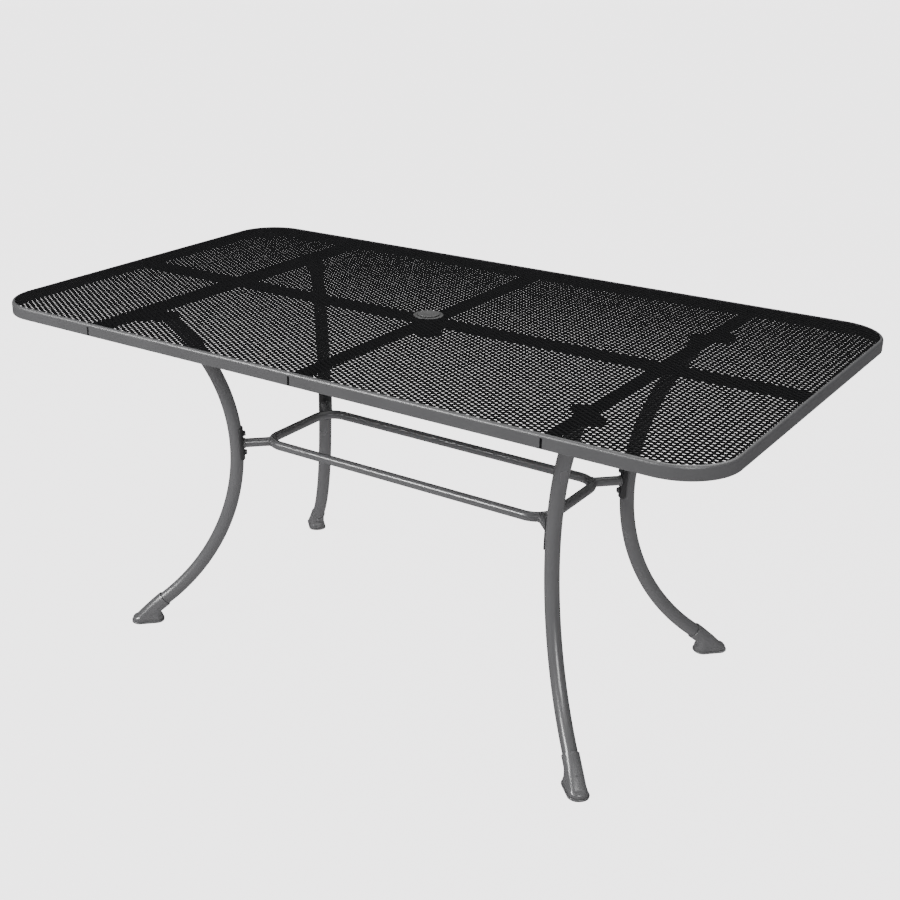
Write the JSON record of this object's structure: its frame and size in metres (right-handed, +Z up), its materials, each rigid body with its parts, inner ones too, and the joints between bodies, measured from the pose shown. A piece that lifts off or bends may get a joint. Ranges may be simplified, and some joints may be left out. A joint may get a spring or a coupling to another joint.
{
  "type": "umbrella table",
  "caption": "Rectangular outdoor dining table with a pierced metal top, a capped parasol hole, bowed tube legs on plastic shoes and a rounded stretcher ring.",
  "frame": {"origin": "on the floor below the middle of the top", "axes": "+X along the length of the top, +Y across its width, +Z up"},
  "size_m": [1.6, 0.9, 0.742],
  "materials": {
    "mesh_paint": "satin dark grey coating on pierced steel sheet",
    "rim_paint": "satin dark grey coating on rolled steel",
    "bar_paint": "satin dark grey coating on flat bar",
    "frame_paint": "satin dark grey coating on steel tube",
    "shoe_plastic": "moulded, slightly matt",
    "bush_plastic": "moulded, matt",
    "cap_plastic": "moulded, matt",
    "fastener_steel": "coated steel"
  },
  "bodies": {
    "table": {"cross_bar_back": "bar_paint", "cross_bar_front": "bar_paint", "cross_bar_left": "bar_paint", "cross_bar_right": "bar_paint", "foot_shoes": "shoe_plastic", "leg_brackets": "frame_paint", "leg_flanges": "frame_paint", "leg_nuts": "fastener_steel", "leg_screws": "fastener_steel", "legs": "frame_paint", "long_bar_left": "bar_paint", "long_bar_right": "bar_paint", "mesh_top": "mesh_paint", "parasol_bush": "bush_plastic", "parasol_sleeve": "bar_paint", "rim_frame": "rim_paint", "saddle_bolts": "fastener_steel", "saddle_plates": "frame_paint", "stretcher_ring": "frame_paint", "stretcher_stubs": "frame_paint"},
    "cap": {"parasol_cap": "cap_plastic"}
  },
  "joints": [
    {"name": "parasol_cap_lift", "type": "slide", "parent": "table", "child": "cap", "axis": [0, 0, 1], "range_m": [0, 0.06]}
  ]
}
